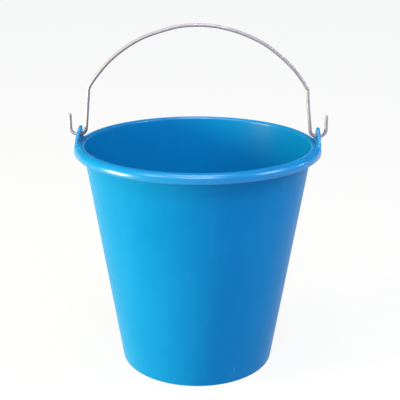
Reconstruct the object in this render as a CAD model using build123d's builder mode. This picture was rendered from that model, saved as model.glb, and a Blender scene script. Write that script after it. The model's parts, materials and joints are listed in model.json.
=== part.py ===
from build123d import *

import os
from math import asin, atan2, cos, hypot, pi, sin, tan

# Moulded twelve litre bucket with a bent wire bail. Millimetres, +Z up.
# Origin: centre of the foot on the ground. The two ears stand on +X and -X.

# ---- Tub: wall and rolled rim
rim_radius = 151.8  # outside of the rim's skirt
tub_height = 288.0  # ground to the top of the rim
base_radius = 98.6  # outside of the wall at the ground
wall = 2.2
rim_round = 8.3  # rounding from the rim's crest out to its skirt
lip_round = 3.8  # rounding from the wall up to the rim's crest
skirt_drop = 10.8  # top of the rim to the skirt's lower edge
skirt_edge = 0.9  # rounding of the skirt's lower edge
web_count = 16  # small webs that stiffen the skirt, inside its channel
web_thickness = 1.6
web_rise = 2.6  # skirt's lower edge to the webs' lower edge
web_bite = 0.4  # how far a web runs into the wall and the skirt

# ---- Tub: base
foot_width = 3.6  # width of the ring that the tub stands on
foot_edge = 0.8  # rounding of the foot ring's edges
base_recess = 4.0  # ground to the underside of the base
base_thickness = 2.6
floor_corner = 6.0  # rounding between the floor and the wall, inside
panel_radius = 70.0  # the base's middle panel is raised a little
panel_rise = 1.6
panel_slope = 4.0  # radial width of the step up to the panel
panel_corner = 1.5
rib_count = 8
rib_thickness = 1.8
rib_clear = 1.4  # ground to the ribs' lower edge
gate_radius = 4.0  # stub left by the mould's gate, under the middle
gate_height = 1.0

# ---- Tub: ears
ear_proud = 0.6  # how far the ear stands out of the rim at the rim's top
ear_thickness = 4.4
ear_lean = 0.053  # inward lean, as a slope
ear_foot = 28.5  # half-width where the ear meets the rim
ear_shoulder = 22.0  # half-width where its sides turn up
ear_shoulder_rise = 2.2
ear_apex_rise = 21.6  # where the straight sides would meet, above the rim
ear_tip_round = 8.5
ear_side_round = 12.0
ear_foot_round = 2.0
ear_shelf = 1.4  # top of the rim to the level of the ear's root
ear_root = 2.6  # fillet between the ear's inner face and the rim
ear_edge = 1.1  # rounding of the ear's edges
hole_radius = 3.3
hole_rise = 7.7  # top of the rim to the hole's centre

# ---- Bail
wire_radius = 2.1
bail_apex = 430.1  # ground to the wire's centreline at the top
knee_x = 134.0
knee_z = 354.0
knee_bend = 6.0
leg_foot_x = 139.4  # where the leg's line meets the level of the holes
hook_x = 158.3
hook_tip_z = 322.0
hook_bend = 8.0
wire_chamfer = 0.5

# ---- Values that follow from them
crest_r = rim_radius - rim_round  # the rim's highest circle
rim_z = tub_height - rim_round
lip_z = tub_height - lip_round
lip_channel = lip_round - wall
skirt_z = tub_height - skirt_drop
web_z = skirt_z + web_rise
draft = atan2(crest_r - base_radius, lip_z) - asin(lip_channel / hypot(crest_r - base_radius, lip_z))
lip_start = (crest_r - lip_round * cos(draft), lip_z + lip_round * sin(draft))
channel_end = (crest_r - lip_channel * cos(draft), lip_z + lip_channel * sin(draft))
floor_z = base_recess + base_thickness
floor_r = lip_start[0] - (lip_start[1] - floor_z) * tan(draft)
hole_z = tub_height + hole_rise
ear_face_r = rim_radius + ear_proud
ear_top_z = tub_height + ear_apex_rise
buried = rim_round - wall + web_bite  # radius of the ear's root, inside the rim's wall
ear_middle_r = ear_face_r - ear_thickness / 2
ear_shelf_z = tub_height - ear_shelf
ear_bottom_z = skirt_z + 1.5 * skirt_edge


def wall_outer(z):
    """Radius of the wall's outer face at height z."""
    return base_radius + z * tan(draft)


def on_arc(centre_z, radius, degrees):
    """Point on a circle about the rim's crest radius, in the tub's section."""
    turn = degrees * pi / 180
    return (crest_r + radius * cos(turn), centre_z + radius * sin(turn))


def ear_outer(z):
    """Radius of the ear's outer face at height z."""
    return ear_face_r - (z - tub_height) * ear_lean


def ear_inner(z):
    """Radius of the ear's inner face at height z."""
    return ear_outer(z) - ear_thickness


# ---- Ears: the ear's section turned about the tub's axis, cut to the ear's outline
with BuildPart() as ears:
    with BuildSketch(Plane.XZ):
        with BuildLine():
            FilletPolyline(
                (crest_r, ear_shelf_z),
                (ear_inner(ear_shelf_z), ear_shelf_z),
                (ear_inner(ear_top_z), ear_top_z),
                radius=ear_root,
            )
            Polyline(
                (ear_inner(ear_top_z), ear_top_z),
                (ear_outer(ear_top_z), ear_top_z),
                (ear_outer(ear_bottom_z), ear_bottom_z),
                (crest_r + buried, ear_bottom_z),
                (crest_r + buried, rim_z),
            )
            CenterArc((crest_r, rim_z), buried, 0, 90)
            Line((crest_r, rim_z + buried), (crest_r, ear_shelf_z))
        make_face()
    revolve(axis=Axis.Z)
    with BuildSketch(Plane.YZ) as ear_outline:
        with BuildLine():
            Polyline(
                (-ear_foot, skirt_z),
                (-ear_foot, tub_height),
                (-ear_shoulder, tub_height + ear_shoulder_rise),
                (0, ear_top_z),
                (ear_shoulder, tub_height + ear_shoulder_rise),
                (ear_foot, tub_height),
                (ear_foot, skirt_z),
                close=True,
            )
        make_face()
        for rise, rounding in (
            (0, ear_foot_round),
            (ear_shoulder_rise, ear_side_round),
            (ear_apex_rise, ear_tip_round),
        ):
            corner = tub_height + rise
            fillet(ear_outline.vertices().filter_by_position(Axis.Y, corner, corner), radius=rounding)
    extrude(amount=rim_radius + 2 * ear_thickness, both=True, mode=Mode.INTERSECT)
    upper_edges = ears.edges().filter_by(lambda edge: edge.center().Z > tub_height)
    outer_edges = upper_edges.filter_by(lambda edge: abs(edge.center().X) > ear_middle_r)
    fillet(outer_edges, radius=ear_edge)

# ---- The tub: one moulding
with BuildPart() as bucket_body:
    with BuildSketch(Plane.XZ):
        with BuildLine():
            # Inside: raised middle panel, floor, wall
            FilletPolyline(
                (0, floor_z + panel_rise),
                (panel_radius, floor_z + panel_rise),
                (panel_radius + panel_slope, floor_z),
                (floor_r, floor_z),
                lip_start,
                radius=[panel_corner, panel_corner, floor_corner],
            )
            # Over the rim, down the skirt and back up inside it
            ThreePointArc(lip_start, on_arc(lip_z, lip_round, 130), (crest_r, tub_height))
            ThreePointArc((crest_r, tub_height), on_arc(rim_z, rim_round, 45), (rim_radius, rim_z))
            FilletPolyline(
                (rim_radius, rim_z),
                (rim_radius, skirt_z),
                (rim_radius - wall, skirt_z),
                (rim_radius - wall, rim_z),
                radius=skirt_edge,
            )
            crest_channel = (crest_r, tub_height - wall)
            ThreePointArc((rim_radius - wall, rim_z), on_arc(rim_z, rim_round - wall, 45), crest_channel)
            ThreePointArc(crest_channel, on_arc(lip_z, lip_channel, 130), channel_end)
            # Outside: wall, foot ring, underside
            FilletPolyline(
                channel_end,
                (base_radius, 0),
                (base_radius - foot_width, 0),
                (base_radius - foot_width, base_recess),
                (panel_radius + panel_slope, base_recess),
                (panel_radius, base_recess + panel_rise),
                (0, base_recess + panel_rise),
                radius=[foot_edge, foot_edge, foot_edge, panel_corner, panel_corner],
            )
            Line((0, base_recess + panel_rise), (0, floor_z + panel_rise))
        make_face()
    revolve(axis=Axis.Z)

    # Webs in the channel under the rim
    for web in range(web_count):
        turn = (web + 0.5) * 2 * pi / web_count
        web_plane = Plane((0, 0, 0), x_dir=(cos(turn), sin(turn), 0), z_dir=(sin(turn), -cos(turn), 0))
        with BuildSketch(web_plane):
            with BuildLine():
                Polyline(
                    (wall_outer(web_z) - web_bite, web_z),
                    (rim_radius - wall + web_bite, web_z),
                    on_arc(rim_z, rim_round - wall + web_bite, 0),
                    on_arc(rim_z, rim_round - wall + 2 * web_bite, 45),
                    on_arc(rim_z, rim_round - wall + web_bite, 90),
                    on_arc(lip_z, lip_channel + 1.5 * web_bite, 135),
                    on_arc(lip_z, lip_channel + web_bite, 180),
                    close=True,
                )
            make_face()
        extrude(amount=web_thickness / 2, both=True)

    # Ribs and gate stub under the base
    rib_inner = panel_radius + panel_slope
    rib_outer = base_radius - foot_width / 2
    with BuildSketch(Plane.XY.offset(rib_clear)):
        with PolarLocations((rib_inner + rib_outer) / 2, rib_count):
            Rectangle(rib_outer - rib_inner, rib_thickness)
        Circle(rib_inner + rib_thickness)
        Circle(rib_inner, mode=Mode.SUBTRACT)
    extrude(amount=base_recess - rib_clear + base_thickness / 2)
    with BuildSketch(Plane.XY.offset(base_recess + panel_rise - gate_height)):
        Circle(gate_radius)
    extrude(amount=gate_height + base_thickness / 2)

    # Ears and the holes for the wire
    add(ears.part)
    with BuildSketch(Plane.YZ):
        with Locations((0, hole_z)):
            Circle(hole_radius)
    extrude(amount=ear_face_r + ear_proud, both=True, mode=Mode.SUBTRACT)

# ---- The bail: one wire, from hook to hook
with BuildPart() as wire_bail:
    with BuildLine(Plane.XZ) as bail_line:
        ThreePointArc((-knee_x, knee_z), (0, bail_apex), (knee_x, knee_z))
        for side in (-1, 1):
            FilletPolyline(
                (side * hook_x, hook_tip_z),
                (side * hook_x, hole_z),
                (side * leg_foot_x, hole_z),
                (side * knee_x, knee_z),
                radius=hook_bend,
            )
        knees = bail_line.vertices().filter_by_position(Axis.Z, knee_z - wire_radius, knee_z + wire_radius)
        fillet(knees, radius=knee_bend)
    with BuildSketch(Plane.XY.offset(hook_tip_z)):
        with Locations((-hook_x, 0)):
            Circle(wire_radius)
    sweep(path=bail_line.wires()[0])
    chamfer(wire_bail.faces().filter_by(GeomType.PLANE).edges(), length=wire_chamfer)

os.makedirs("parts", exist_ok=True)
bucket_body.part.label = "bucket_body"
export_step(bucket_body.part, "parts/bucket_body.step")
wire_bail.part.label = "wire_bail"
export_step(wire_bail.part, "parts/wire_bail.step")
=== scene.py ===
import json
import math

import bmesh
import bpy
from mathutils import Matrix, Vector, noise


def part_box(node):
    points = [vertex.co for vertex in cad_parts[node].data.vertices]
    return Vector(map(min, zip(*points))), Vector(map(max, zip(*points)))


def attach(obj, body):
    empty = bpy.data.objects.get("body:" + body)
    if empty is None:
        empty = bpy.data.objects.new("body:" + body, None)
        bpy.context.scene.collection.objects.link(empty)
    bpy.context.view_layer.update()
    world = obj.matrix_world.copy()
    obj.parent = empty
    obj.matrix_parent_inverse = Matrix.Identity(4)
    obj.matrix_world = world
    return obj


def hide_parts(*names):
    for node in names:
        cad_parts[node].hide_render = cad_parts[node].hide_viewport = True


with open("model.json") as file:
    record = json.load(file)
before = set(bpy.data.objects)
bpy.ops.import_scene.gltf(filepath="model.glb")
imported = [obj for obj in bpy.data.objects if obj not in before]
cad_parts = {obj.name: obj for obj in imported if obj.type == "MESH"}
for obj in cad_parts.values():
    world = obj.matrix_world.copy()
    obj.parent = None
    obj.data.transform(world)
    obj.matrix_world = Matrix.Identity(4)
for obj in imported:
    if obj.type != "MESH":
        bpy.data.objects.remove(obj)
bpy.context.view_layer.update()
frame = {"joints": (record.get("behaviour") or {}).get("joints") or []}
tub_low, tub_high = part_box("bucket_body")
bail_low, bail_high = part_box("wire_bail")
MM = 0.001

# ---- Tub, in metres: the frame gives the outer sizes, and the section's own sizes follow
RIM = tub_high.y  # outside of the rim's skirt
EAR_RISE = 18.77 * MM  # top of the rim to the tip of an ear
TOP = tub_high.z - EAR_RISE  # top of the rim
BASE = 98.6 * MM  # outside of the wall at the ground
WALL = 2.2 * MM
RIM_ROUND = 8.3 * MM  # rounding from the rim's crest out to its skirt
LIP = 3.8 * MM  # rounding from the wall up to the crest
SKIRT_DROP = 10.8 * MM
SKIRT_EDGE = 0.9 * MM
FOOT_WIDTH = 3.6 * MM
FOOT_EDGE = 0.8 * MM
RECESS = 4.0 * MM  # ground to the underside of the base
FLOOR = RECESS + 2.6 * MM
FLOOR_CORNER = 6.0 * MM
PANEL = 70.0 * MM  # radius of the raised middle panel
PANEL_RISE = 1.6 * MM
PANEL_SLOPE = 4.0 * MM
PANEL_ROUND = 3.0 * MM
GATE = 4.0 * MM  # radius of the stub left by the mould's gate
GATE_DEPTH = 1.0 * MM
GATE_EDGE = 0.3 * MM
WEB_COUNT = 16  # small webs in the channel under the rim
WEB = 1.6 * MM
WEB_RISE = 2.6 * MM  # skirt's lower edge to the webs' lower edge
WEB_BITE = 1.0 * MM  # how far a web runs into the skirt; a little more into the wall and the rim
RIB_COUNT = 8
RIB = 1.8 * MM
RIB_CLEAR = 1.4 * MM  # ground to the ribs' lower edge
RIB_BITE = 1.2 * MM  # how far the ribs run up into the base
MESH_STEP = 12 * MM  # longest run of the section between two points

# ---- Ears
EAR_PROUD = 0.6 * MM  # how far an ear stands out of the rim, level with the rim's top
EAR_THICK = 4.4 * MM
EAR_LEANS = {-1: 0.27, 1: 0.11}  # inward slope of each ear above the rim's top: the left one is bent in
EAR_FLARE = 0.05  # the same below it
EAR_ROOT = 1.5 * MM
EAR_FADE = 62.0 * MM  # half-width over which the rim swells out to an ear
EAR_FULL = 8.0 * MM  # from this height up an ear has its whole section
EAR_FOOT = 29.0 * MM  # half-width where an ear has sunk into the rim
EAR_SHOULDER = 22.0 * MM
EAR_SHOULDER_RISE = 2.2 * MM
EAR_APEX = 21.6 * MM  # where the straight sides would meet, above the rim
EAR_TIP = 8.5 * MM  # rounding of the tip
EAR_SOFT = 1.6 * MM  # rounds the turn from a side to the foot
HOLE = 3.3 * MM
HOLE_Z = frame["joints"][0]["pos_m"][2]
HOLE_LIP = 0.5 * MM  # rounding of the holes' edges

# ---- Bail
WIRE = (bail_high.y - bail_low.y) / 2
HOOK_X = bail_high.x - WIRE
APEX_Z = bail_high.z - WIRE
KNEE_X = 134.0 * MM
KNEE_Z = 354.0 * MM
LEG_X = 139.4 * MM  # where a leg's line meets the level of the holes
HOOK_TIP_Z = 322.0 * MM
HOOK_BEND = 8.0 * MM
KNEE_BENDS = {-1: 15.0 * MM, 1: 3.5 * MM}  # the left knee is a soft bend, the right one a kink
BOW_STEPS = 60  # steps from a knee to the apex
WIRE_END = [(0.0, 0.55), (0.18 * MM, 0.86), (0.5 * MM, 1.0)]  # distance from an end, share of the radius
WIRE_SLANT = 0.22  # slant of the sheared ends

# ---- Stage
FLOOR_GLOW = 0.90
FLOOR_HALF = 40.0
FLOOR_DROP = 0.1 * MM  # keeps the floor clear of the foot ring's own face
SKY = 0.66
SKY_BEHIND = 0.10  # the room is darker overhead, behind the tub
HORIZON = 0.95

# ---- Section of the tub
OVER, DOWN = 26, 4  # steps over the rim and down its skirt: as many as an ear's section has
CREST = RIM - RIM_ROUND
RIM_Z = TOP - RIM_ROUND
LIP_Z = TOP - LIP
SKIRT_Z = TOP - SKIRT_DROP
DRAFT = math.atan2(CREST - BASE, LIP_Z) - math.asin((LIP - WALL) / math.hypot(CREST - BASE, LIP_Z))
STEEP = 180 - math.degrees(DRAFT)


def smooth(x):
    """Smooth step from 0 to 1."""
    x = min(1.0, max(0.0, x))
    return x * x * (3 - 2 * x)


def line(a, b, count):
    """count points from a up to, but not including, b."""
    return [tuple(p + (q - p) * i / count for p, q in zip(a, b)) for i in range(count)]


def arc(centre, radius, start, end, count):
    """count + 1 points on an arc in the section's plane, with angles in degrees."""
    angles = [math.radians(start + (end - start) * i / count) for i in range(count + 1)]
    return [(centre[0] + radius * math.cos(a), centre[1] + radius * math.sin(a)) for a in angles]


def rounded(points, radii, count=4):
    """A polyline with its inner corners rounded."""
    out = [points[0]]
    for before, corner, after, radius in zip(points, points[1:], points[2:], radii):
        p, c, q = Vector(before), Vector(corner), Vector(after)
        u, v = (p - c).normalized(), (q - c).normalized()
        half = u.angle(v) / 2
        centre = c + (u + v).normalized() * radius / math.sin(half)
        start, end = c + u * radius / math.tan(half), c + v * radius / math.tan(half)
        for i in range(count + 1):
            way = start.lerp(end, i / count) - centre
            out.append(tuple(centre + way.normalized() * radius))
    return out + [points[-1]]


def spaced(points, step):
    """The polyline with its long runs divided."""
    out = []
    for a, b in zip(points, points[1:]):
        out += line(a, b, max(1, round(math.dist(a, b) / step)))
    return out + [points[-1]]


lip_start = arc((CREST, LIP_Z), LIP, STEEP, STEEP, 1)[0]
channel_end = arc((CREST, LIP_Z), LIP - WALL, STEEP, STEEP, 1)[0]
floor_r = lip_start[0] - (lip_start[1] - FLOOR) * math.tan(DRAFT)


def inside_section():
    """From the middle of the floor up the inner wall to the rim's crest."""
    corners = [
        (0, FLOOR + PANEL_RISE),
        (PANEL, FLOOR + PANEL_RISE),
        (PANEL + PANEL_SLOPE, FLOOR),
        (floor_r, FLOOR),
        lip_start,
    ]
    path = rounded(corners, [PANEL_ROUND, PANEL_ROUND, FLOOR_CORNER])
    over = arc((CREST, LIP_Z), LIP, STEEP, 90, 8)
    return spaced(path, MESH_STEP)[:-1] + over[:-1]


def outside_section(swell=0):
    """From the skirt's lower edge up inside the channel, down the wall and in under the base."""
    out = RIM + swell
    edge = rounded(
        [(out, SKIRT_Z + 2 * SKIRT_EDGE), (out, SKIRT_Z), (RIM - WALL, SKIRT_Z), (RIM - WALL, RIM_Z)],
        [SKIRT_EDGE, SKIRT_EDGE],
    )[1:]
    channel = arc((CREST, RIM_Z), RIM_ROUND - WALL, 0, 90, 6)[:-1]
    channel += arc((CREST, LIP_Z), LIP - WALL, 90, STEEP, 5)
    panel_z = RECESS + PANEL_RISE
    corners = [
        channel_end,
        (BASE, 0),
        (BASE - FOOT_WIDTH, 0),
        (BASE - FOOT_WIDTH, RECESS),
        (PANEL + PANEL_SLOPE, RECESS),
        (PANEL, panel_z),
        (GATE, panel_z),
        (GATE, panel_z - GATE_DEPTH),
        (0, panel_z - GATE_DEPTH),
    ]
    radii = [FOOT_EDGE] * 3 + [PANEL_ROUND] * 2 + [GATE_EDGE] * 2
    return edge[:-1] + channel[:-1] + spaced(rounded(corners, radii), MESH_STEP)


def ear_height(s):
    """Height of an ear's outline above the rim's top, at s to the side of its middle."""
    s = abs(s)
    slope = (EAR_APEX - EAR_SHOULDER_RISE) / EAR_SHOULDER
    tilt = math.atan(slope)
    tip_end = EAR_TIP * math.sin(tilt)
    if s < tip_end:
        return EAR_APEX - EAR_TIP / math.cos(tilt) + math.sqrt(EAR_TIP**2 - s**2)
    side = EAR_APEX - slope * s
    fade = 1 - smooth((s - EAR_SHOULDER) / (EAR_FOOT - EAR_SHOULDER))
    foot = EAR_SHOULDER_RISE * fade
    mean, gap = (side + foot) / 2, (side - foot) / 2
    return mean + math.hypot(gap, EAR_SOFT * fade)


def ear_outer(z, side):
    """Radius of the outer face of the ear on that side, at height z."""
    return RIM + EAR_PROUD - (z - TOP) * (EAR_LEANS[side] if z > TOP else EAR_FLARE)


def swell(s):
    """How far the rim stands out to meet an ear's face, at s to the side of the ear's middle."""
    return (EAR_PROUD + SKIRT_DROP * EAR_FLARE) * smooth((EAR_FADE - abs(s)) / (EAR_FADE - EAR_SHOULDER))


def plain_rim(out):
    """The rim from its crest over and down to the skirt's edge, swollen by that much."""
    over = [(r + out * (r - CREST) / RIM_ROUND, z) for r, z in arc((CREST, RIM_Z), RIM_ROUND, 90, 0, OVER)]
    return over[:-1] + line(over[-1], (RIM + out, SKIRT_Z + 2 * SKIRT_EDGE), DOWN)


def ear_rim(height, out, side):
    """The same stretch of the section with an ear of that height on it, in as many points."""
    tip_round = EAR_THICK / 2
    top = TOP + height - tip_round
    inner = ear_outer(top, side) - EAR_THICK
    crest, slope = arc((CREST, RIM_Z), RIM_ROUND, 90, 75, 1)
    foot = arc((CREST, RIM_Z), RIM_ROUND, 59, 59, 1)[0]
    root = [crest] + rounded([slope, foot, (inner, top)], [EAR_ROOT], 5)
    tip = arc((inner + tip_round, top), tip_round, 180, 0, 8)
    skirt = (RIM + out, RIM_Z)
    return (root[:-2] + line(root[-2], root[-1], 6) + tip[:-1] + line(tip[-1], skirt, 5)
            + line(skirt, (RIM + out, SKIRT_Z + 2 * SKIRT_EDGE), DOWN))


def rim_section(s, side):
    """The outer half of the rim at s to the side of the middle of the ear on that side."""
    out = swell(s)
    if abs(s) > EAR_FOOT:
        return plain_rim(out)
    height = max(0.0, ear_height(s))
    share = min(1.0, height / EAR_FULL)
    pairs = zip(plain_rim(out), ear_rim(max(height, EAR_FULL), out, side))
    return [(p[0] + (q[0] - p[0]) * share, p[1] + (q[1] - p[1]) * share) for p, q in pairs]


def tub_angles():
    """Angles round the tub: close together at the two ears, wider between them."""
    close = math.asin((EAR_FOOT + 3 * MM) / RIM)
    near, far = 108, 84
    turn = []
    for middle in (0.0, math.pi):
        turn += [middle - close + 2 * close * i / near for i in range(near)]
        gap = math.pi - 2 * close
        turn += [middle + close + gap * i / far for i in range(far)]
    return turn


def build_tub():
    """The moulding as one skin: the section carried round, with the ears grown out of the rim."""
    mesh = bpy.data.meshes.new("tub")
    bm = bmesh.new()
    inside, outside = inside_section(), outside_section()
    columns = []
    for turn in tub_angles():
        c, s = math.cos(turn), math.sin(turn)
        rim = rim_section(RIM * s, 1 if c > 0 else -1)
        section = inside[1:] + rim + outside_section(swell(RIM * s))[:-1]
        columns.append([bm.verts.new((r * c, r * s, z)) for r, z in section])
    floor_middle = bm.verts.new((0, 0, inside[0][1]))
    under_middle = bm.verts.new((0, 0, outside[-1][1]))
    for here, there in zip(columns, columns[1:] + columns[:1]):
        for i in range(len(here) - 1):
            bm.faces.new((here[i], there[i], there[i + 1], here[i + 1]))
        bm.faces.new((floor_middle, there[0], here[0]))
        bm.faces.new((under_middle, here[-1], there[-1]))
    bmesh.ops.recalc_face_normals(bm, faces=bm.faces)
    bm.to_mesh(mesh)
    bm.free()
    return mesh


def add_box(bm, size, bevel, matrix):
    """A block with softened edges."""
    made = bmesh.ops.create_cube(bm, size=1)["verts"]
    bmesh.ops.scale(bm, vec=size, verts=made)
    edges = list({edge for vert in made for edge in vert.link_edges})
    beveled = bmesh.ops.bevel(bm, geom=edges, offset=bevel, segments=2, affect="EDGES", profile=0.5)
    bmesh.ops.transform(bm, matrix=matrix, verts=list({v for f in beveled["faces"] for v in f.verts}))


def build_stiffeners():
    """Webs in the channel under the rim, and the ribs and the ring under the base."""
    bm = bmesh.new()
    inner, outer = channel_end[0] - 1.4 * WEB_BITE, RIM - WALL + WEB_BITE
    low, high = SKIRT_Z + WEB_RISE, RIM_Z + 4 * WEB_BITE
    middle = Matrix.Translation(((inner + outer) / 2, 0, (low + high) / 2))
    for i in range(WEB_COUNT):
        turn = Matrix.Rotation((i + 0.5) * math.tau / WEB_COUNT, 4, "Z")
        add_box(bm, (outer - inner, WEB, high - low), 0.2 * MM, turn @ middle)
    inner, outer = PANEL + PANEL_SLOPE, BASE - FOOT_WIDTH / 2
    low, high = RIB_CLEAR, RECESS + RIB_BITE
    middle = Matrix.Translation(((inner + outer) / 2, 0, (low + high) / 2))
    for i in range(RIB_COUNT):
        turn = Matrix.Rotation(i * math.tau / RIB_COUNT, 4, "Z")
        add_box(bm, (outer - inner, RIB, high - low), 0.3 * MM, turn @ middle)
    edge = 0.4 * MM
    ring = [
        (inner, high),
        (inner, low + edge),
        (inner + edge, low),
        (inner + RIB - edge, low),
        (inner + RIB, low + edge),
        (inner + RIB, high),
    ]
    count = 128
    loops = []
    for i in range(count):
        turn = math.tau * i / count
        loops.append([bm.verts.new((r * math.cos(turn), r * math.sin(turn), z)) for r, z in ring])
    for here, there in zip(loops, loops[1:] + loops[:1]):
        for i in range(len(ring)):
            j = (i + 1) % len(ring)
            bm.faces.new((here[i], there[i], there[j], here[j]))
    bmesh.ops.recalc_face_normals(bm, faces=bm.faces)
    mesh = bpy.data.meshes.new("stiffeners")
    bm.to_mesh(mesh)
    bm.free()
    return mesh


def build_hole_cutter():
    """Spools that cut the ears' holes and soften their lips."""
    bm = bmesh.new()
    count = 40
    flare = arc((0, HOLE + HOLE_LIP), HOLE_LIP, -90, 0, 4)
    for side in (-1, 1):
        outer = ear_outer(HOLE_Z, side)
        inner = outer - EAR_THICK
        outward = [(outer - HOLE_LIP + x, r) for x, r in flare] + [(outer + 2 * MM, HOLE + HOLE_LIP)]
        inward = [(inner + HOLE_LIP - x, r) for x, r in flare] + [(inner - 2 * MM, HOLE + HOLE_LIP)]
        spool = inward[::-1] + outward
        loops = []
        for x, radius in spool:
            turns = [math.tau * i / count for i in range(count)]
            ring = [(side * x, radius * math.cos(t), HOLE_Z + radius * math.sin(t)) for t in turns]
            loops.append([bm.verts.new(p) for p in ring])
        for here, there in zip(loops, loops[1:]):
            for i in range(count):
                j = (i + 1) % count
                bm.faces.new((here[i], here[j], there[j], there[i]))
        bm.faces.new(loops[0])
        bm.faces.new(loops[-1])
    bmesh.ops.recalc_face_normals(bm, faces=bm.faces)
    mesh = bpy.data.meshes.new("hole_cutter")
    bm.to_mesh(mesh)
    bm.free()
    return mesh


def piece(name, mesh):
    made = bpy.data.objects.new(name, mesh)
    bpy.context.scene.collection.objects.link(made)
    return made


def cut(target, mesh):
    """Cuts a closed mesh out of target, for good."""
    tool = piece("tool", mesh)
    step = target.modifiers.new("cut", "BOOLEAN")
    step.object, step.operation, step.solver = tool, "DIFFERENCE", "EXACT"
    depsgraph = bpy.context.evaluated_depsgraph_get()
    made = bpy.data.meshes.new_from_object(target.evaluated_get(depsgraph))
    target.modifiers.remove(step)
    target.data = made
    bpy.data.objects.remove(tool)


def join(target, mesh):
    """Adds a mesh to target's own."""
    bm = bmesh.new()
    bm.from_mesh(target.data)
    bm.from_mesh(mesh)
    bm.to_mesh(target.data)
    bm.free()


def shade(mesh, sharp_degrees):
    mesh.shade_smooth()
    mesh.set_sharp_from_angle(angle=math.radians(sharp_degrees))


# ---- Bail: the wire's path and skin
def arc_through(x, z, apex):
    """Radius and centre height of the circle through (-x, z), (0, apex) and (x, z)."""
    rise = apex - z
    radius = (x * x + rise * rise) / (2 * rise)
    return radius, apex - radius


def half_path(side):
    """The wire's line from a hook's tip to just before the apex, in the XZ plane."""
    radius, centre = arc_through(KNEE_X, KNEE_Z, APEX_Z)
    start = math.atan2(KNEE_Z - centre, KNEE_X)
    step = (math.pi / 2 - start) / BOW_STEPS
    sweep = [start + step * i for i in range(BOW_STEPS)]
    bow = [(radius * math.cos(a), centre + radius * math.sin(a)) for a in sweep]
    bend = KNEE_BENDS[side]
    # The knee is rounded between the leg and the chord of the bow that the bend reaches
    reach = max(2, round(0.6 * bend / (radius * step)))
    corners = [(HOOK_X, HOOK_TIP_Z), (HOOK_X, HOLE_Z), (LEG_X, HOLE_Z), bow[0], bow[reach]]
    path = rounded(corners, [HOOK_BEND, HOOK_BEND, bend], 10) + bow[reach + 1:]
    return [(side * x, z) for x, z in spaced(path, 2.5 * MM)]


def bail_path():
    """The whole line, as bent by hand: it wanders a little in and out of its plane."""
    flat = half_path(-1)[:-1] + [(0.0, APEX_Z)] + half_path(1)[::-1][1:]
    path = []
    for x, z in flat:
        away = smooth((z - HOLE_Z - 8 * MM) / (40 * MM)) * smooth((APEX_Z - z) / (6 * MM))
        side = noise.noise((x * 22, z * 9, 3.1)) * 1.3 * MM * away
        inward = (noise.noise((x * 31, 7.7, z * 14)) - 0.55) * 0.7 * MM * away
        out = Vector((x, z - HOLE_Z)).normalized()
        path.append(Vector((x + out.x * inward, side, z + out.y * inward)))
    return path


def wire_rings(path):
    """The wire's rings: distance along it, centre, direction, share of the radius, slant."""
    rings, travelled = [], 0.0
    for i, point in enumerate(path):
        before, after = path[max(0, i - 1)], path[min(len(path) - 1, i + 1)]
        travelled += (point - before).length
        along = (after - before).normalized()
        if i == 0:
            rings += [(d, point + along * d, along, share, WIRE_SLANT) for d, share in WIRE_END]
        elif i == len(path) - 1:
            for d, share in reversed(WIRE_END):
                rings.append((travelled - d, point - along * d, along, share, -WIRE_SLANT))
        else:
            rings.append((travelled, point, along, 1.0, 0.0))
    return rings


def build_bail():
    """The wire's skin, with sheared ends and a UV map that runs along and round it."""
    rings = wire_rings(bail_path())
    around = 24
    bm = bmesh.new()
    uv = bm.loops.layers.uv.new("wire")
    loops = []
    for length, centre, along, share, slant in rings:
        side = Vector((0, 1, 0)) - along * along.y
        side.normalize()
        other = along.cross(side)
        loop = []
        for k in range(around):
            turn = math.tau * k / around
            dent = 1 + 0.012 * noise.noise((length * 130, math.cos(turn) * 2, math.sin(turn) * 2))
            radius = WIRE * share * min(1.0, dent)
            place = centre + (side * math.cos(turn) + other * math.sin(turn)) * radius
            place += along * (math.sin(turn) + 1) * slant * WIRE * share
            loop.append(bm.verts.new(place))
        loops.append(loop)
    for n, (here, there) in enumerate(zip(loops, loops[1:])):
        for k in range(around):
            m = (k + 1) % around
            face = bm.faces.new((here[k], here[m], there[m], there[k]))
            corners = ((n, k), (n, k + 1), (n + 1, k + 1), (n + 1, k))
            for loop, (ring, turn) in zip(face.loops, corners):
                loop[uv].uv = (rings[ring][0], turn / around)
    for loop in (loops[0], loops[-1]):
        bm.faces.new(loop)
    bmesh.ops.recalc_face_normals(bm, faces=bm.faces)
    mesh = bpy.data.meshes.new("bail")
    bm.to_mesh(mesh)
    bm.free()
    return mesh


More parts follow.
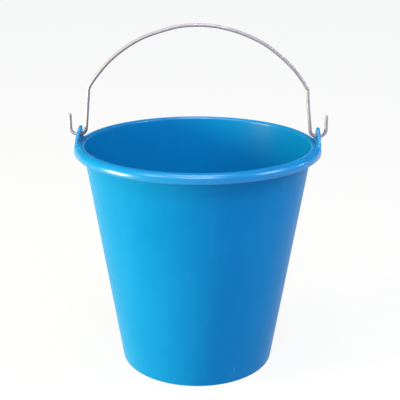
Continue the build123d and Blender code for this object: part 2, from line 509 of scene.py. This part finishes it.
# ---- Materials
class Nodes:
    """Short ways to add nodes to a material or a world."""

    def __init__(self, owner, shader="Principled BSDF"):
        owner.use_nodes = True
        self.owner = owner
        self.tree = owner.node_tree
        self.shader = self.tree.nodes[shader]

    def add(self, kind, **inputs):
        node = self.tree.nodes.new(kind)
        for name, value in inputs.items():
            self.feed(node, name, value)
        return node

    def feed(self, node, name, value):
        socket = node.inputs[name.replace("_", " ")] if isinstance(name, str) else node.inputs[name]
        if isinstance(value, bpy.types.NodeSocket):
            self.tree.links.new(value, socket)
        else:
            socket.default_value = value

    def place(self, scale):
        mapping = self.add("ShaderNodeMapping", Scale=scale)
        self.feed(mapping, "Vector", self.add("ShaderNodeTexCoord").outputs["Object"])
        return mapping.outputs["Vector"]

    def noise(self, scale, detail=4.0, roughness=0.55, stretch=(1, 1, 1), vector=None):
        where = vector or self.place(stretch)
        node = self.add("ShaderNodeTexNoise", Vector=where, Scale=scale, Detail=detail, Roughness=roughness)
        return node.outputs["Fac"]

    def range(self, value, low, high, to_low=0.0, to_high=1.0):
        node = self.add("ShaderNodeMapRange")
        for name, number in (("Value", value), ("From Min", low), ("From Max", high)):
            self.feed(node, name, number)
        self.feed(node, "To Min", to_low)
        self.feed(node, "To Max", to_high)
        return node.outputs["Result"]

    def maths(self, operation, a, b):
        node = self.add("ShaderNodeMath")
        node.operation = operation
        self.feed(node, 0, a)
        self.feed(node, 1, b)
        return node.outputs["Value"]

    def mix(self, share, a, b):
        node = self.tree.nodes.new("ShaderNodeMix")
        node.data_type = "RGBA"
        self.feed(node, 0, share)
        self.feed(node, 6, a)
        self.feed(node, 7, b)
        return node.outputs[2]

    def bump(self, height, strength, distance, below=None):
        node = self.add("ShaderNodeBump", Height=height, Strength=strength, Distance=distance)
        if below is not None:
            self.feed(node, "Normal", below)
        return node.outputs["Normal"]


def moulded_plastic(name, low_rough, high_rough, specular):
    """Blue polypropylene with flow marks, orange peel and light scuffs."""
    n = Nodes(bpy.data.materials.new(name))
    coordinates = n.add("ShaderNodeTexCoord").outputs["Object"]
    split = n.add("ShaderNodeSeparateXYZ", Vector=coordinates)
    height = split.outputs["Z"]
    blue, pale, deep = (0.002, 0.180, 0.485, 1), (0.005, 0.198, 0.510, 1), (0.001, 0.166, 0.462, 1)
    clouds = n.noise(9.0, 3.0, 0.5)
    flow = n.noise(30.0, 5.0, 0.6, stretch=(1, 1, 0.07))
    colour = n.mix(n.range(clouds, 0.35, 0.7), blue, deep)
    colour = n.mix(n.range(flow, 0.45, 0.85, 0.0, 0.5), colour, pale)
    scratch = n.noise(70.0, 8.0, 0.75, stretch=(1, 1, 0.35))
    scuff = n.maths("MULTIPLY", n.range(scratch, 0.62, 0.74), n.range(height, 0.05, 0.0, 0.1, 0.8))
    colour = n.mix(n.maths("MULTIPLY", scuff, 0.35), colour, (0.25, 0.50, 0.76, 1))
    n.feed(n.shader, "Base Color", colour)
    rough = n.range(n.noise(55.0, 6.0, 0.65), 0.3, 0.7, low_rough, high_rough)
    n.feed(n.shader, "Roughness", n.maths("ADD", rough, n.maths("MULTIPLY", scuff, 0.2)))
    peel = n.bump(n.noise(520.0, 2.0, 0.5), 0.10, 0.0003)
    waves = n.bump(n.noise(16.0, 2.0, 0.4, stretch=(1, 1, 0.3)), 0.25, 0.0012, peel)
    n.feed(n.shader, "Normal", n.bump(scratch, 0.06, 0.0003, waves))
    n.shader.inputs["IOR"].default_value = 1.49
    n.shader.inputs["Specular IOR Level"].default_value = specular
    n.shader.inputs["Subsurface Weight"].default_value = 0.12
    n.shader.inputs["Subsurface Radius"].default_value = (0.15, 0.6, 1.0)
    n.shader.inputs["Subsurface Scale"].default_value = 0.003
    return n.owner


def galvanised_wire():
    """Drawn steel wire with a thin zinc coat: fine lines along it, dull patches and a few darker marks."""
    n = Nodes(bpy.data.materials.new("galvanised_wire"))
    uv = n.add("ShaderNodeUVMap")
    uv.uv_map = "wire"
    along = n.add("ShaderNodeMapping", Vector=uv.outputs["UV"], Scale=(14, 26, 1)).outputs["Vector"]
    lines = n.noise(1.0, 6.0, 0.7, vector=along)
    patches = n.noise(140.0, 4.0, 0.6)
    spangle = n.add("ShaderNodeTexVoronoi", Vector=n.place((1, 1, 1)), Scale=420.0).outputs["Color"]
    flake = n.add("ShaderNodeSeparateColor", Color=spangle).outputs["Red"]
    zinc, dull, dark = (0.39, 0.34, 0.43, 1), (0.30, 0.265, 0.335, 1), (0.14, 0.125, 0.15, 1)
    colour = n.mix(n.range(patches, 0.35, 0.7), zinc, dull)
    colour = n.mix(n.range(flake, 0.0, 1.0, 0.0, 0.25), colour, (0.46, 0.41, 0.50, 1))
    colour = n.mix(n.range(lines, 0.60, 0.78, 0.0, 0.55), colour, dark)
    n.feed(n.shader, "Base Color", colour)
    n.shader.inputs["Metallic"].default_value = 0.75
    rough = n.range(patches, 0.3, 0.7, 0.44, 0.60)
    n.feed(n.shader, "Roughness", n.maths("ADD", rough, n.range(flake, 0.0, 1.0, -0.03, 0.03)))
    grain = n.bump(lines, 0.08, 0.0002)
    n.feed(n.shader, "Normal", n.bump(patches, 0.08, 0.0002, grain))
    return n.owner


def pale_floor():
    """A floor that stays almost white, with a faint soft shadow under the tub."""
    n = Nodes(bpy.data.materials.new("pale_floor"))
    grain = n.noise(40.0, 3.0, 0.5)
    n.feed(n.shader, "Base Color", n.mix(grain, (0.06, 0.06, 0.06, 1), (0.08, 0.08, 0.08, 1)))
    n.shader.inputs["Roughness"].default_value = 0.9
    n.shader.inputs["Specular IOR Level"].default_value = 0.0
    n.shader.inputs["Emission Color"].default_value = (1, 1, 1, 1)
    n.shader.inputs["Emission Strength"].default_value = FLOOR_GLOW
    return n.owner


# ---- Floor, light and camera
def build_stage():
    """The floor, and a soft sky round it."""
    mesh = bpy.data.meshes.new("floor")
    signs = [(-1, -1), (1, -1), (1, 1), (-1, 1)]
    corners = [(x * FLOOR_HALF, y * FLOOR_HALF, -FLOOR_DROP) for x, y in signs]
    mesh.from_pydata(corners, [], [(0, 1, 2, 3)])
    floor = piece("floor", mesh)
    mesh.materials.append(pale_floor())
    world = bpy.data.worlds.new("studio")
    bpy.context.scene.world = world
    n = Nodes(world, "Background")
    way = n.add("ShaderNodeSeparateXYZ", Vector=n.add("ShaderNodeTexCoord").outputs["Generated"])
    above = n.range(way.outputs["Y"], -0.1, 0.5, SKY, SKY_BEHIND)
    n.feed(n.shader, "Strength", n.range(way.outputs["Z"], 0.02, 0.15, HORIZON, above))
    n.feed(n.shader, "Color", (0.78, 0.92, 1.0, 1))


def softbox(name, place, aim, size, power, colour):
    lamp = bpy.data.lights.new(name, "AREA")
    lamp.shape = "RECTANGLE"
    lamp.size, lamp.size_y = size
    lamp.energy = power
    lamp.color = colour
    made = bpy.data.objects.new(name, lamp)
    made.location = place
    made.rotation_euler = (Vector(aim) - Vector(place)).to_track_quat("-Z", "Y").to_euler()
    bpy.context.scene.collection.objects.link(made)


def build_lights():
    """A strong soft lamp low on the left, a bright one above the front, and weak ones round the rest."""
    middle = Vector((0, 0, tub_high.z * 0.6))
    # Degrees to the right of the camera's side, degrees up, distance, size, power and colour
    lamps = {
        "key": (-72, 6, 2.0, (0.7, 0.8), 78, (1.0, 1.0, 0.47)),
        "high_key": (-48, 52, 2.0, (0.5, 0.4), 8, (1.0, 1.0, 0.70)),
        "overhead": (0, 86, 2.0, (0.9, 0.9), 15, (1.0, 1.0, 0.85)),
        "front": (4, 56, 2.2, (0.9, 0.5), 19, (1.0, 1.0, 0.92)),
        "right": (72, 40, 0.7, (0.2, 0.2), 1.2, (0.90, 1.0, 0.95)),
        "right_back": (110, 19, 1.9, (0.2, 0.2), 2, (0.80, 0.97, 1.0)),
    }
    for name, (side, up, away, size, power, colour) in lamps.items():
        side, up = math.radians(side), math.radians(up)
        way = Vector((math.sin(side) * math.cos(up), -math.cos(side) * math.cos(up), math.sin(up)))
        softbox(name, middle + way * away, middle, size, power, colour)


def build_camera():
    """From the front, with the eye above the rim, looking down into the tub."""
    camera = bpy.data.cameras.new("camera")
    camera.sensor_width = 36.0
    camera.lens = 73.53
    camera.shift_x = -0.00125
    made = bpy.data.objects.new("camera", camera)
    bpy.context.scene.collection.objects.link(made)
    pitch, roll, yaw = math.radians(18.11), math.radians(0.23), math.radians(1.3)
    eye = Vector((3.7 * MM, -989.6 * MM, 534.5 * MM))
    turn = Matrix.Rotation(yaw, 4, "Z")
    tilt = Matrix.Rotation(math.pi / 2 - pitch, 4, "X") @ Matrix.Rotation(roll, 4, "Z")
    made.matrix_world = turn @ Matrix.Translation(eye) @ tilt
    bpy.context.scene.camera = made


# ---- Put the pieces together
tub = piece("moulded_tub", build_tub())
cut(tub, build_hole_cutter())
join(tub, build_stiffeners())
shade(tub.data, 40)
tub.data.materials.clear()
# The rim and the ears are glossier than the wall
tub.data.materials.append(moulded_plastic("plastic_wall", 0.30, 0.40, 0.05))
tub.data.materials.append(moulded_plastic("plastic_rim", 0.19, 0.27, 0.45))
for face in tub.data.polygons:
    face.material_index = int(face.center.z > LIP_Z or math.hypot(*face.center.xy) > RIM - 2 * WALL)
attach(tub, "tub")
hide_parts("bucket_body")

bail = piece("bent_wire_bail", build_bail())
shade(bail.data, 50)
bail.data.materials.append(galvanised_wire())
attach(bail, "bail")
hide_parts("wire_bail")

build_stage()
build_lights()
build_camera()
bpy.context.scene.view_settings.view_transform = "Standard"
